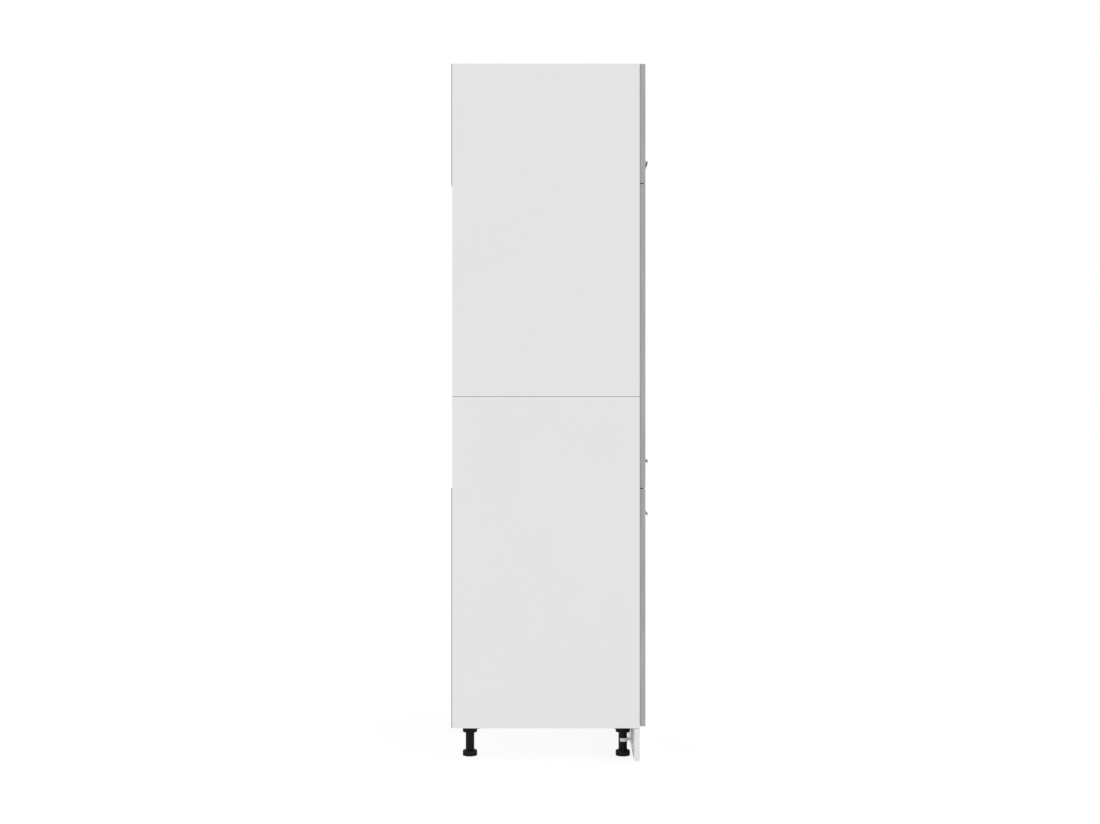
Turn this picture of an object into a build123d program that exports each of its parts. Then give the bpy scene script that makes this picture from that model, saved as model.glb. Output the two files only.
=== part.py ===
from build123d import *
import os

# Tall kitchen housing for a built-in fridge: a cupboard below, an open-backed niche in the middle
# and a cupboard on top. Front faces -Y, X is centred, Z = 0 is the floor, sizes are millimetres.

# Carcass
width = 600.0
carcass_depth = 556.0
board = 16.0
back_thickness = 3.0
leg_height = 100.0
lower_half_height = 983.0
upper_half_height = 987.0
joint_arris = 0.6

# Heights of the middle boards' centre planes above the carcass underside
fridge_shelf_height = 711.0
top_floor_height = 1615.0

# Fronts
front_thickness = 16.0
front_edge_radius = 2.0
rear_edge_radius = 1.0
hinge_edge_radius = 3.0
door_gap = 1.0
door_reveal = 1.5
between_doors = 3.0
front_above_underside = 5.5
front_below_top = 0.5
bumper_size = 8.0
bumper_gap = 0.2
bumper_inset = 12.0

# Handles: a lip that stands out from a base strip and turns down
handle_projection = 13.0
handle_length = 400.0
handle_screw_spacing = 384.0
handle_line = 78.5
handle_rise = 2.8
handle_foot_drop = 4.0
handle_tip_drop = 7.4
handle_base_depth = 4.0
handle_lip = 2.4
handle_web = 2.6
handle_corner_radius = 1.2
handle_throat_radius = 2.0
handle_screw_diameter = 3.5
handle_screw_head = 8.0
handle_screw_head_height = 2.2
handle_screw_in_base = 3.0

# Backs
back_inset = 2.0
back_bottom_inset = 1.0
back_lap = 12.0

# Loose shelf on pins
loose_shelf_underside = 352.0
loose_shelf_setback = 35.0
loose_shelf_play = 1.0
system_pitch = 32.0
system_inset = 37.0
system_hole_diameter = 5.0
system_hole_depth = 11.0
system_holes = 7
pin_play = 0.05
pin_length_in_side = 9.0
pin_head_diameter = 8.0
pin_head_length = 8.0

# Knock-down fittings
dowel_diameter = 8.0
dowel_length = 30.0
dowel_in_side = 10.0
dowel_play = 0.1
dowel_inset = 38.0
dowel_chamfer = 1.0
cam_diameter = 15.0
cam_depth = 12.5
cam_backset = 24.0
cam_inset = 72.0
cam_play = 0.1
cam_bolt_diameter = 6.0
cam_bolt_head_diameter = 8.0
cam_bolt_head_length = 3.0
cam_bolt_in_side = 11.0
cam_bolt_play = 0.3
cam_recess_width = 1.4
cam_recess_length = 9.0
cam_recess_depth = 2.0

# Joining plates over the halves of each side
joining_plate_height = 120.0
joining_plate_width = 40.0
joining_plate_thickness = 2.0
joining_plate_corner = 5.0
joining_screw_rise = 40.0
joining_screw_offset = 10.0
joining_plate_inset = 90.0
joining_screw_diameter = 3.5
joining_screw_head = 6.6
joining_screw_short_of_face = 5.0

# Cup hinges with a single pin, turned in the door's thickness
hinge_end_distance = 100.0
cup_diameter = 35.0
cup_depth = 13.0
cup_floor = 0.8
cup_edge_distance = 3.0
cup_play = 0.1
cup_outer_wall = 1.0
cup_inner_wall = 2.5
cup_flange_clearance = 0.3
cup_flange_width = 20.0
cup_flange_length = 62.0
cup_flange_thickness = 1.0
cup_flange_corner = 4.0
cup_screw_spacing = 48.0
cup_screw_setback = 6.0
cup_screw_diameter = 3.5
cup_screw_head = 7.0
cup_screw_short_of_face = 5.0
hinge_pin_from_edge = 6.2
hinge_pin_in_door = 10.0
hinge_pin_diameter = 2.4
hinge_pin_length = 16.0
hinge_pin_play = 0.05
hinge_eye_radius = 1.9
arm_neck_width = 8.6
arm_side_play = 0.4
arm_width = 15.0
arm_sheet = 1.6
arm_start = 62.0
arm_front_end = 16.0
neck_clearance = 2.5
neck_thickness = 3.2
neck_below_pin = 1.0
neck_above_pin = 1.7
neck_root = 8.0
neck_outer_slope_end = 5.0
neck_inner_slope_end = 8.0
neck_slope_offset = 1.0
neck_outer_radius = 1.2
neck_inner_radius = 0.6
arm_cheek_gap = 0.4
arm_web_height = 6.4
rail_width = 11.4
rail_start = 64.0
rail_end = 17.0
plate_line = 37.0
plate_wing_length = 46.0
plate_wing_width = 18.0
plate_wing_thickness = 2.2
plate_wing_corner = 5.0
plate_screw_spacing = 32.0
plate_screw_diameter = 5.0
plate_screw_head = 9.0
plate_screw_head_height = 2.0
plate_screw_length = 12.0
clamp_screw_line = 50.0
adjusting_screw_line = 30.0
clamp_screw_diameter = 4.0
clamp_screw_head = 7.0
clamp_screw_head_height = 2.4
clamp_screw_play = 0.3
rail_bore_play = 0.05
clamp_screw_short_of_side = 1.0

# Legs and feet
leg_inset_x = 95.0
leg_inset_front = 46.0
leg_inset_rear = 48.0
socket_diameter = 43.6
socket_height = 29.0
socket_edge = 1.0
socket_wall = 2.5
socket_ceiling = 3.0
socket_sleeve_wall = 2.2
socket_ribs = 6
socket_rib_width = 2.0
tube_diameter = 25.9
tube_wall = 3.0
tube_play = 0.1
tube_top_gap = 7.0
leg_screw_diameter = 4.5
leg_screw_short_of_face = 5.0
leg_screw_head = 10.0
leg_screw_head_height = 3.0
foot_diameter = 43.6
foot_height = 16.0
foot_edge_radius = 3.0
foot_gap = 0.3
foot_stem_length = 48.0
foot_stem_wall = 3.0
foot_grips = 8
foot_grip_radius = 1.4
thread_play = 0.3

# Plinth, its brackets and the clips that grip the front legs
plinth_thickness = 16.0
plinth_floor_gap = 3.0
plinth_top_gap = 1.0
plinth_end_gap = 1.0
bracket_width = 34.0
bracket_height = 60.0
bracket_depth = 5.0
bracket_corner = 4.0
groove_width = 14.0
groove_mouth = 8.0
groove_depth = 3.4
groove_lip = 1.4
clip_height = 10.0
clip_neck_height = 6.6
clip_above_bracket_end = 9.5
clip_wall = 2.2
clip_play = 0.3
clip_mouth_angle = 110.0
bracket_screw_diameter = 3.5
bracket_screw_head = 6.4
bracket_screw_short_of_face = 3.6
bracket_screw_rise = 22.0

# Places along the depth, from the front: the doors, then the carcass, then the backs
total_depth = handle_projection + front_thickness + door_gap + carcass_depth + back_thickness
y_door = -total_depth / 2 + handle_projection
y_door_back = y_door + front_thickness
y_front = y_door_back + door_gap
y_rear = y_front + carcass_depth
y_middle = (y_front + y_rear) / 2

# Places across the width and up the height
half_width = width / 2
inner_half = half_width - board
z_under = leg_height
z_joint = z_under + lower_half_height
z_top = z_joint + upper_half_height
z_bottom_board = z_under + board / 2
z_fridge_shelf = z_under + fridge_shelf_height
z_top_floor = z_under + top_floor_height
z_top_board = z_top - board / 2
z_loose_shelf = z_under + loose_shelf_underside

# Centre plane of each fixed board, and 1 or -1 for the face that its cams are let into
fixed_boards = {
    "bottom_board": (z_bottom_board, -1),
    "fridge_shelf": (z_fridge_shelf, -1),
    "top_cupboard_floor": (z_top_floor, -1),
    "top_board": (z_top_board, 1),
}

# Lower and upper edge of each front, the number of its hinges, and 1 or -1 for a handle line
# measured from its lower or from its upper edge
doors = {
    "lower_door": (z_under + front_above_underside, z_fridge_shelf - between_doors / 2, 2, -1),
    "middle_door": (z_fridge_shelf + between_doors / 2, z_top_floor - between_doors / 2, 3, 1),
    "top_door": (z_top_floor + between_doors / 2, z_top - front_below_top, 2, 1),
}

# Screws that end short of the far face of the board that they enter
leg_screw_length = socket_ceiling + board - leg_screw_short_of_face
joining_screw_length = joining_plate_thickness + board - joining_screw_short_of_face
cup_screw_length = cup_flange_thickness + front_thickness - cup_screw_short_of_face

dowel_rows = (y_front + dowel_inset, y_rear - dowel_inset)
cam_rows = (y_front + cam_inset, y_rear - cam_inset)
system_rows = (y_front + system_inset, y_rear - system_inset)
joining_rows = (y_front + joining_plate_inset, y_rear - joining_plate_inset)
leg_rows = (y_front + leg_inset_front, y_rear - leg_inset_rear)
leg_columns = (-half_width + leg_inset_x, half_width - leg_inset_x)

# The hinge pins' line, and the cups' place in the door
x_door_edge = half_width - door_reveal
x_pin = x_door_edge - hinge_pin_from_edge
y_pin = y_door_back - hinge_pin_in_door
x_cup = x_door_edge - cup_edge_distance - cup_diameter / 2
x_cup_screws = x_cup - cup_screw_setback
pocket_depth = cup_depth - cup_floor
pocket_half = arm_neck_width / 2 + arm_side_play

y_plinth_back = y_front + plinth_thickness
y_bracket_back = y_plinth_back + bracket_depth
groove_floor = bracket_depth - groove_depth
bracket_screw_length = plinth_thickness + groove_floor - bracket_screw_short_of_face
z_plinth_top = z_under - plinth_top_gap
z_bracket = z_plinth_top - bracket_height / 2
z_clip = z_plinth_top - bracket_height + clip_above_bracket_end


def across(x, y, z, facing):
    """A plane square to X at a point, with its normal along +X or -X and its first axis along Y."""
    return Plane(origin=(x, y, z), x_dir=(0, 1, 0), z_dir=(facing, 0, 0))


def upright(x, y, z, facing):
    """A plane square to Y at a point, with its normal along +Y or -Y and its first axis along X."""
    return Plane(origin=(x, y, z), x_dir=(1, 0, 0), z_dir=(0, facing, 0))


def level(x, y, z, facing=1):
    """A plane square to Z at a point, with its normal up or down and its first axis along X."""
    return Plane(origin=(x, y, z), x_dir=(1, 0, 0), z_dir=(0, 0, facing))


def rod(plane, diameter, length):
    """A round bar that starts on a plane and runs along its normal."""
    with BuildPart() as bar:
        with BuildSketch(plane):
            Circle(diameter / 2)
        extrude(amount=length)
    return bar.part


def slab(plane, x_size, y_size, thickness):
    """A rectangular block that stands on a plane, centred on its origin."""
    with BuildPart() as block:
        with BuildSketch(plane):
            Rectangle(x_size, y_size)
        extrude(amount=thickness)
    return block.part


def flush_screw(plane, diameter, head, length):
    """A countersunk screw whose head lies flush with a plane and which runs along its normal."""
    cone = (head - diameter) / 2
    with BuildPart() as screw:
        with BuildSketch(plane):
            Circle(head / 2)
        with BuildSketch(plane.offset(cone)):
            Circle(diameter / 2)
        loft()
        with BuildSketch(plane.offset(cone)):
            Circle(diameter / 2)
        extrude(amount=length - cone)
    return screw.part


def raised_screw(plane, diameter, head, head_height, length):
    """A screw with a flat head standing behind a plane and a shank that runs along its normal."""
    with BuildPart() as screw:
        with BuildSketch(plane.offset(-head_height)):
            Circle(head / 2)
        extrude(amount=head_height)
        with BuildSketch(plane):
            Circle(diameter / 2)
        extrude(amount=length)
    return screw.part


def ends():
    """Each end of the fixed boards: the side's inner face and the direction out of the carcass."""
    return ((-inner_half, -1), (inner_half, 1))


# Where the fittings lie, each as a plane whose normal points out of the carcass
def dowel_planes():
    for z, _ in fixed_boards.values():
        for x, out in ends():
            for y in dowel_rows:
                yield across(x - out * (dowel_length - dowel_in_side), y, z, out)


def upright_dowel_planes():
    for x, out in ends():
        for y in (*dowel_rows, y_middle):
            yield level(x + out * board / 2, y, z_joint - dowel_length / 2)


def cam_bolt_planes():
    for z, _ in fixed_boards.values():
        for x, out in ends():
            for y in cam_rows:
                yield across(x - out * cam_backset, y, z, out)


def cam_planes():
    for z, face in fixed_boards.values():
        for x, out in ends():
            for y in cam_rows:
                yield level(x - out * cam_backset, y, z + face * board / 2, -face)


def joining_screw_planes():
    for x, out in ends():
        for y in joining_rows:
            for dy in (-joining_screw_offset, joining_screw_offset):
                for dz in (-joining_screw_rise, joining_screw_rise):
                    yield across(x - out * joining_plate_thickness, y + dy, z_joint + dz, out)


def shelf_pin_planes():
    for x, out in ends():
        for y in system_rows:
            yield across(x, y, z_loose_shelf - system_hole_diameter / 2, out)


def system_hole_planes():
    for plane in shelf_pin_planes():
        for step in range(system_holes):
            rise = (step - system_holes // 2) * system_pitch
            yield Plane(plane.origin + Vector(0, 0, rise), plane.x_dir, plane.z_dir)


def hinge_heights(door):
    low, high, count, _ = doors[door]
    first = low + hinge_end_distance
    step = (high - low - 2 * hinge_end_distance) / (count - 1)
    return [first + i * step for i in range(count)]


def plate_screw_planes():
    for door in doors:
        for z in hinge_heights(door):
            for dz in (-plate_screw_spacing / 2, plate_screw_spacing / 2):
                seat = inner_half - plate_wing_thickness
                yield across(seat, y_front + plate_line, z + dz, 1)


def leg_places():
    return [(x, y) for x in leg_columns for y in leg_rows]


os.makedirs("parts", exist_ok=True)


# Sides: two boards one above the other, bored for every fitting that enters them
def side_board(out, low, high):
    with BuildPart() as side:
        face = across(out * half_width, y_middle, (low + high) / 2, -out)
        add(slab(face, carcass_depth, high - low, board))
        at_joint = side.edges().filter_by(Axis.Y).group_by(Axis.Z)[-1 if high == z_joint else 0]
        chamfer(at_joint.sort_by(Axis.X)[-1 if out > 0 else 0], joint_arris)
        bores = [(p, dowel_diameter + 2 * dowel_play, dowel_length) for p in dowel_planes()]
        bores += [(p, dowel_diameter + 2 * dowel_play, dowel_length) for p in upright_dowel_planes()]
        bolt_length = cam_backset + cam_bolt_in_side
        bores += [(p, cam_bolt_diameter + 2 * dowel_play, bolt_length) for p in cam_bolt_planes()]
        bores += [(p, system_hole_diameter, system_hole_depth) for p in system_hole_planes()]
        bores += [(p, joining_screw_diameter, joining_screw_length) for p in joining_screw_planes()]
        bores += [(p, plate_screw_diameter, plate_screw_length) for p in plate_screw_planes()]
        here = [b for b in bores if b[0].origin.X * out > 0 and low - dowel_length < b[0].origin.Z < high]
        add([rod(*bore) for bore in here], mode=Mode.SUBTRACT)
    return side.part


with BuildPart() as side_left_lower:
    add(side_board(-1, z_under, z_joint))
side_left_lower.part.label = "side_left_lower"
export_step(side_left_lower.part, "parts/side_left_lower.step")

with BuildPart() as side_left_upper:
    add(side_board(-1, z_joint, z_top))
side_left_upper.part.label = "side_left_upper"
export_step(side_left_upper.part, "parts/side_left_upper.step")

with BuildPart() as side_right_lower:
    add(side_board(1, z_under, z_joint))
side_right_lower.part.label = "side_right_lower"
export_step(side_right_lower.part, "parts/side_right_lower.step")

with BuildPart() as side_right_upper:
    add(side_board(1, z_joint, z_top))
side_right_upper.part.label = "side_right_upper"
export_step(side_right_upper.part, "parts/side_right_upper.step")


# Fixed boards: dowel and bolt bores in both ends, cam seats in one face
for name, (z, face) in fixed_boards.items():
    with BuildPart() as fixed_board:
        add(slab(level(0, y_middle, z - board / 2), 2 * inner_half, carcass_depth, board))
        bores = [(p, dowel_diameter + 2 * dowel_play, dowel_length) for p in dowel_planes()]
        bores += [(p, cam_bolt_diameter + 2 * cam_bolt_play, cam_backset) for p in cam_bolt_planes()]
        bores += [(p, cam_diameter + 2 * cam_play, cam_depth) for p in cam_planes()]
        if name == "bottom_board":
            bores += [(level(x, y, z_under), leg_screw_diameter, leg_screw_length) for x, y in leg_places()]
        here = [bore for bore in bores if abs(bore[0].origin.Z - z) < board]
        add([rod(*bore) for bore in here], mode=Mode.SUBTRACT)
    fixed_board.part.label = name
    export_step(fixed_board.part, f"parts/{name}.step")


# Thin backs behind the two cupboards; the niche stays open behind for the fridge's air
with BuildPart() as lower_back:
    low, high = z_under + back_bottom_inset, z_fridge_shelf
    add(slab(upright(0, y_rear, (low + high) / 2, 1), width - 2 * back_inset, high - low, back_thickness))
lower_back.part.label = "lower_back"
export_step(lower_back.part, "parts/lower_back.step")

with BuildPart() as upper_back:
    low, high = z_top_floor + board / 2 - back_lap, z_top - back_bottom_inset
    add(slab(upright(0, y_rear, (low + high) / 2, 1), width - 2 * back_inset, high - low, back_thickness))
upper_back.part.label = "upper_back"
export_step(upper_back.part, "parts/upper_back.step")


# Loose shelf, lying on the flats of four pins in the system holes
with BuildPart() as loose_shelf:
    shelf_width = 2 * (inner_half - loose_shelf_play)
    shelf_depth = carcass_depth - loose_shelf_setback - loose_shelf_play
    y_shelf = y_rear - loose_shelf_play - shelf_depth / 2
    add(slab(level(0, y_shelf, z_loose_shelf), shelf_width, shelf_depth, board))
loose_shelf.part.label = "loose_shelf"
export_step(loose_shelf.part, "parts/loose_shelf.step")

with BuildPart() as shelf_pins:
    shank_diameter = system_hole_diameter - 2 * pin_play
    add([rod(plane, shank_diameter, pin_length_in_side) for plane in shelf_pin_planes()])
    heads = [plane.offset(-pin_head_length) for plane in shelf_pin_planes()]
    add([rod(plane, pin_head_diameter, pin_head_length) for plane in heads])
    flat = slab(level(0, y_middle, z_loose_shelf), 2 * inner_half, carcass_depth, pin_head_diameter)
    add(flat, mode=Mode.SUBTRACT)
shelf_pins.part.label = "shelf_pins"
export_step(shelf_pins.part, "parts/shelf_pins.step")


# Knock-down fittings: dowels, cams, and the bolts that the cams draw in
with BuildPart() as dowels:
    planes = (*dowel_planes(), *upright_dowel_planes())
    add([rod(plane, dowel_diameter, dowel_length) for plane in planes])
    chamfer(dowels.edges().filter_by(GeomType.CIRCLE), dowel_chamfer)
dowels.part.label = "dowels"
export_step(dowels.part, "parts/dowels.step")


def cam(plane, bolt_plane):
    """A cam: a cylinder hollowed on the bolt's side, with a crossed recess for the driver."""
    with BuildPart() as lock:
        add(rod(plane, cam_diameter, cam_depth))
        hollow = cam_bolt_head_diameter + 2 * cam_bolt_play
        add(rod(bolt_plane.offset(-hollow / 2), hollow, cam_diameter), mode=Mode.SUBTRACT)
        with BuildSketch(plane):
            Rectangle(cam_recess_length, cam_recess_width)
            Rectangle(cam_recess_width, cam_recess_length)
        extrude(amount=cam_recess_depth, mode=Mode.SUBTRACT)
    return lock.part


with BuildPart() as cam_locks:
    add([cam(*planes) for planes in zip(cam_planes(), cam_bolt_planes())])
cam_locks.part.label = "cam_locks"
export_step(cam_locks.part, "parts/cam_locks.step")

with BuildPart() as cam_bolts:
    bolt_length = cam_backset + cam_bolt_in_side
    add([rod(plane, cam_bolt_diameter, bolt_length) for plane in cam_bolt_planes()])
    add([rod(plane, cam_bolt_head_diameter, cam_bolt_head_length) for plane in cam_bolt_planes()])
cam_bolts.part.label = "cam_bolts"
export_step(cam_bolts.part, "parts/cam_bolts.step")


# Steel plates that join the two boards of each side
def joining_screw(plane):
    return flush_screw(plane, joining_screw_diameter, joining_screw_head, joining_screw_length)


with BuildPart() as joining_plates:
    for x, out in ends():
        for y in joining_rows:
            with BuildSketch(across(x - out * joining_plate_thickness, y, z_joint, out)):
                RectangleRounded(joining_plate_width, joining_plate_height, joining_plate_corner)
            extrude(amount=joining_plate_thickness)
    add([joining_screw(plane) for plane in joining_screw_planes()], mode=Mode.SUBTRACT)
joining_plates.part.label = "joining_plates"
export_step(joining_plates.part, "parts/joining_plates.step")

with BuildPart() as joining_plate_screws:
    add([joining_screw(plane) for plane in joining_screw_planes()])
joining_plate_screws.part.label = "joining_plate_screws"
export_step(joining_plate_screws.part, "parts/joining_plate_screws.step")


# Cup hinges. A plate is screwed to the side, an arm is clamped on the plate's rail, and the arm's
# bent neck reaches into the door's cup, where a pin passes through its eye.
def hinge_spots():
    return [z for door in doors for z in hinge_heights(door)]


x_wing = inner_half - plate_wing_thickness
x_rail = inner_half - arm_web_height
x_web = x_rail - arm_sheet


def hinge_plate(z):
    """Two wings with the screws' holes, and a rail between them that carries the arm."""
    with BuildPart() as plate:
        with BuildSketch(across(inner_half, y_front + plate_line, z, -1)):
            RectangleRounded(plate_wing_width, plate_wing_length, plate_wing_corner)
        extrude(amount=plate_wing_thickness)
        rail_length = rail_start - rail_end
        y_rail = y_front + (rail_start + rail_end) / 2
        add(slab(across(inner_half, y_rail, z, -1), rail_length, rail_width, arm_web_height))
        rail_bore_diameter = clamp_screw_diameter + 2 * rail_bore_play
        bores = [
            rod(across(x_rail, y_front + line, z, 1), rail_bore_diameter, arm_web_height)
            for line in (clamp_screw_line, adjusting_screw_line)
        ]
        bores += [
            rod(across(x_wing, y_front + plate_line, z + dz, 1), plate_screw_diameter, plate_wing_thickness)
            for dz in (-plate_screw_spacing / 2, plate_screw_spacing / 2)
        ]
        add(bores, mode=Mode.SUBTRACT)
    return plate.part


def arm_neck(z):
    """The neck seen from above: from the web forward, round the door's edge, to the eye."""
    x_out = inner_half - neck_clearance
    x_in = x_out - neck_thickness
    y_low, y_high = y_pin + neck_below_pin, y_pin - neck_above_pin
    y_root = y_front + arm_front_end + neck_root
    with BuildPart() as neck:
        with BuildSketch(Plane.XY.offset(z - arm_neck_width / 2)):
            with BuildLine():
                outer = FilletPolyline(
                    (x_web, y_root),
                    (x_web, y_front + neck_outer_slope_end),
                    (x_in, y_front - neck_slope_offset),
                    (x_in, y_high),
                    (x_pin, y_high),
                    radius=neck_outer_radius,
                )
                inner = FilletPolyline(
                    (x_pin, y_low),
                    (x_out, y_low),
                    (x_out, y_front + neck_slope_offset),
                    (x_rail, y_front + neck_inner_slope_end),
                    (x_rail, y_root),
                    radius=neck_inner_radius,
                )
                Line(outer @ 1, inner @ 0)
                Line(inner @ 1, outer @ 0)
            make_face()
            with Locations((x_pin, y_pin)):
                Circle(hinge_eye_radius)
        extrude(amount=arm_neck_width)
    return neck.part


def hinge_arm(z):
    """A channel over the rail, drawn out at its front into the neck with the pin's eye."""
    length = arm_start - arm_front_end
    y_channel = y_front + (arm_start + arm_front_end) / 2
    cheek_height = arm_web_height - plate_wing_thickness - arm_cheek_gap + arm_sheet
    with BuildPart() as arm:
        add(slab(across(x_rail, y_channel, z, -1), length, arm_width, arm_sheet))
        for facing in (-1, 1):
            z_cheek = z + facing * (arm_width - arm_sheet) / 2
            add(slab(across(x_web, y_channel, z_cheek, 1), length, arm_sheet, cheek_height))
        add(arm_neck(z))
        clamp_hole = across(x_web, y_front + clamp_screw_line, z, 1)
        adjusting_hole = across(x_web, y_front + adjusting_screw_line, z, 1)
        pin_bore = level(x_pin, y_pin, z - arm_neck_width / 2)
        bores = [
            rod(clamp_hole, clamp_screw_diameter + 2 * clamp_screw_play, arm_sheet),
            rod(adjusting_hole, clamp_screw_diameter, arm_sheet),
            rod(pin_bore, hinge_pin_diameter + 2 * hinge_pin_play, arm_neck_width),
        ]
        add(bores, mode=Mode.SUBTRACT)
    return arm.part


with BuildPart() as hinge_plates:
    add([hinge_plate(z) for z in hinge_spots()])
hinge_plates.part.label = "hinge_plates"
export_step(hinge_plates.part, "parts/hinge_plates.step")

with BuildPart() as hinge_arms:
    add([hinge_arm(z) for z in hinge_spots()])
hinge_arms.part.label = "hinge_arms"
export_step(hinge_arms.part, "parts/hinge_arms.step")

with BuildPart() as hinge_plate_screws:
    shape = (plate_screw_diameter, plate_screw_head, plate_screw_head_height, plate_screw_length)
    add([raised_screw(plane, *shape) for plane in plate_screw_planes()])
hinge_plate_screws.part.label = "hinge_plate_screws"
export_step(hinge_plate_screws.part, "parts/hinge_plate_screws.step")

with BuildPart() as hinge_arm_screws:
    length = arm_sheet + arm_web_height - clamp_screw_short_of_side
    shape = (clamp_screw_diameter, clamp_screw_head, clamp_screw_head_height, length)
    lines = (y_front + clamp_screw_line, y_front + adjusting_screw_line)
    add([raised_screw(across(x_web, y, z, 1), *shape) for z in hinge_spots() for y in lines])
hinge_arm_screws.part.label = "hinge_arm_screws"
export_step(hinge_arm_screws.part, "parts/hinge_arm_screws.step")


def cup_screw_planes(z):
    for dz in (-cup_screw_spacing / 2, cup_screw_spacing / 2):
        yield upright(x_cup_screws, y_door_back + cup_flange_thickness, z + dz, -1)


def cup_screw(plane):
    return flush_screw(plane, cup_screw_diameter, cup_screw_head, cup_screw_length)


def hinge_cup(z):
    """A cup let into the door, with a pocket for the arm's neck and two wings for its screws."""
    with BuildPart() as cup:
        add(rod(upright(x_cup, y_door_back, z, -1), cup_diameter, cup_depth))
        x_flange = inner_half - cup_flange_clearance - cup_flange_width / 2
        with BuildSketch(upright(x_flange, y_door_back, z, 1)):
            RectangleRounded(cup_flange_width, cup_flange_length, cup_flange_corner)
        extrude(amount=cup_flange_thickness)
        pocket_length = cup_diameter - cup_outer_wall - cup_inner_wall
        x_pocket = x_cup + (cup_inner_wall - cup_outer_wall) / 2
        mouth = upright(x_pocket, y_door_back + cup_flange_thickness, z, -1)
        depth = cup_flange_thickness + pocket_depth
        pin_bore = level(x_pin, y_pin, z - hinge_pin_length / 2)
        hollows = [slab(mouth, pocket_length, 2 * pocket_half, depth)]
        hollows += [rod(pin_bore, hinge_pin_diameter, hinge_pin_length)]
        hollows += [cup_screw(plane) for plane in cup_screw_planes(z)]
        add(hollows, mode=Mode.SUBTRACT)
    return cup.part


# Doors: a board with rounded edges, a lip handle held by screws from inside, hinge cups and pins,
# and two soft bumpers on the swinging edge
def handle_height(door):
    low, high, _, from_low = doors[door]
    return low + handle_line if from_low > 0 else high - handle_line


def handle_screw_planes(door):
    for x in (-handle_screw_spacing / 2, handle_screw_spacing / 2):
        yield upright(x, y_door_back, handle_height(door), -1)


def handle_outline(z):
    """The lip's section, on a plane square to X: first axis along Y, second axis up."""
    top = z + handle_rise
    foot = z - handle_foot_drop
    tip = z - handle_tip_drop
    z_round = tip + handle_lip / 2
    y_base = y_door - handle_base_depth
    y_out = y_door - handle_projection
    y_in = y_out + handle_lip
    y_tip = (y_out + y_in) / 2
    with BuildLine() as outline:
        outer = FilletPolyline((y_door, top), (y_out, top), (y_out, z_round), radius=handle_corner_radius)
        inner = FilletPolyline(
            (y_in, z_round),
            (y_in, top - handle_web),
            (y_base, top - handle_web),
            radius=handle_throat_radius,
        )
        ThreePointArc(outer @ 1, (y_tip, tip), inner @ 0)
        Polyline(inner @ 1, (y_base, foot), (y_door, foot), outer @ 0)
    return outline


for door, (low, high, _, _) in doors.items():
    with BuildPart() as door_panel:
        add(slab(upright(0, y_door, (low + high) / 2, 1), 2 * x_door_edge, high - low, front_thickness))
        fillet(door_panel.edges().group_by(Axis.Y)[0], front_edge_radius)
        fillet(door_panel.edges().group_by(Axis.Y)[-1].sort_by(Axis.X)[-1], hinge_edge_radius)
        fillet(door_panel.edges().group_by(Axis.Y)[-1].sort_by(Axis.X)[:-1], rear_edge_radius)
        hollows = []
        for z in hinge_heights(door):
            seat = upright(x_cup, y_door_back, z, -1)
            hollows += [rod(seat, cup_diameter + 2 * cup_play, cup_depth)]
            hollows += [cup_screw(plane) for plane in cup_screw_planes(z)]
        for plane in handle_screw_planes(door):
            hollows += [rod(plane, handle_screw_diameter, front_thickness)]
        add(hollows, mode=Mode.SUBTRACT)
    door_panel.part.label = f"{door}_panel"
    export_step(door_panel.part, f"parts/{door}_panel.step")

    with BuildPart() as handle:
        with BuildSketch(Plane(origin=(-handle_length / 2, 0, 0), x_dir=(0, 1, 0), z_dir=(1, 0, 0))):
            add(handle_outline(handle_height(door)))
            make_face()
        extrude(amount=handle_length)
        bores = [plane.offset(front_thickness) for plane in handle_screw_planes(door)]
        add([rod(bore, handle_screw_diameter, handle_screw_in_base) for bore in bores], mode=Mode.SUBTRACT)
    handle.part.label = f"{door}_handle"
    export_step(handle.part, f"parts/{door}_handle.step")

    with BuildPart() as handle_screws:
        length = front_thickness + handle_screw_in_base
        shape = (handle_screw_diameter, handle_screw_head, handle_screw_head_height, length)
        add([raised_screw(plane, *shape) for plane in handle_screw_planes(door)])
    handle_screws.part.label = f"{door}_handle_screws"
    export_step(handle_screws.part, f"parts/{door}_handle_screws.step")

    with BuildPart() as cups:
        add([hinge_cup(z) for z in hinge_heights(door)])
    cups.part.label = f"{door}_hinge_cups"
    export_step(cups.part, f"parts/{door}_hinge_cups.step")

    with BuildPart() as pins:
        places = [level(x_pin, y_pin, z - hinge_pin_length / 2) for z in hinge_heights(door)]
        add([rod(place, hinge_pin_diameter, hinge_pin_length) for place in places])
    pins.part.label = f"{door}_hinge_pins"
    export_step(pins.part, f"parts/{door}_hinge_pins.step")

    with BuildPart() as cup_screws:
        add([cup_screw(plane) for z in hinge_heights(door) for plane in cup_screw_planes(z)])
    cup_screws.part.label = f"{door}_cup_screws"
    export_step(cup_screws.part, f"parts/{door}_cup_screws.step")

    with BuildPart() as bumpers:
        x_bumper = bumper_inset - x_door_edge
        places = [upright(x_bumper, y_door_back, z, 1) for z in (low + bumper_inset, high - bumper_inset)]
        add([rod(place, bumper_size, door_gap - bumper_gap) for place in places])
    bumpers.part.label = f"{door}_bumpers"
    export_step(bumpers.part, f"parts/{door}_bumpers.step")


# Legs: a ribbed socket screwed under the carcass, a tube in it, and a foot that screws into the tube
sleeve_inner = tube_diameter / 2 + tube_play
sleeve_outer = sleeve_inner + socket_sleeve_wall
z_socket = z_under - socket_height
z_tube_top = z_under - tube_top_gap
z_tube = foot_height + foot_gap


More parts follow.
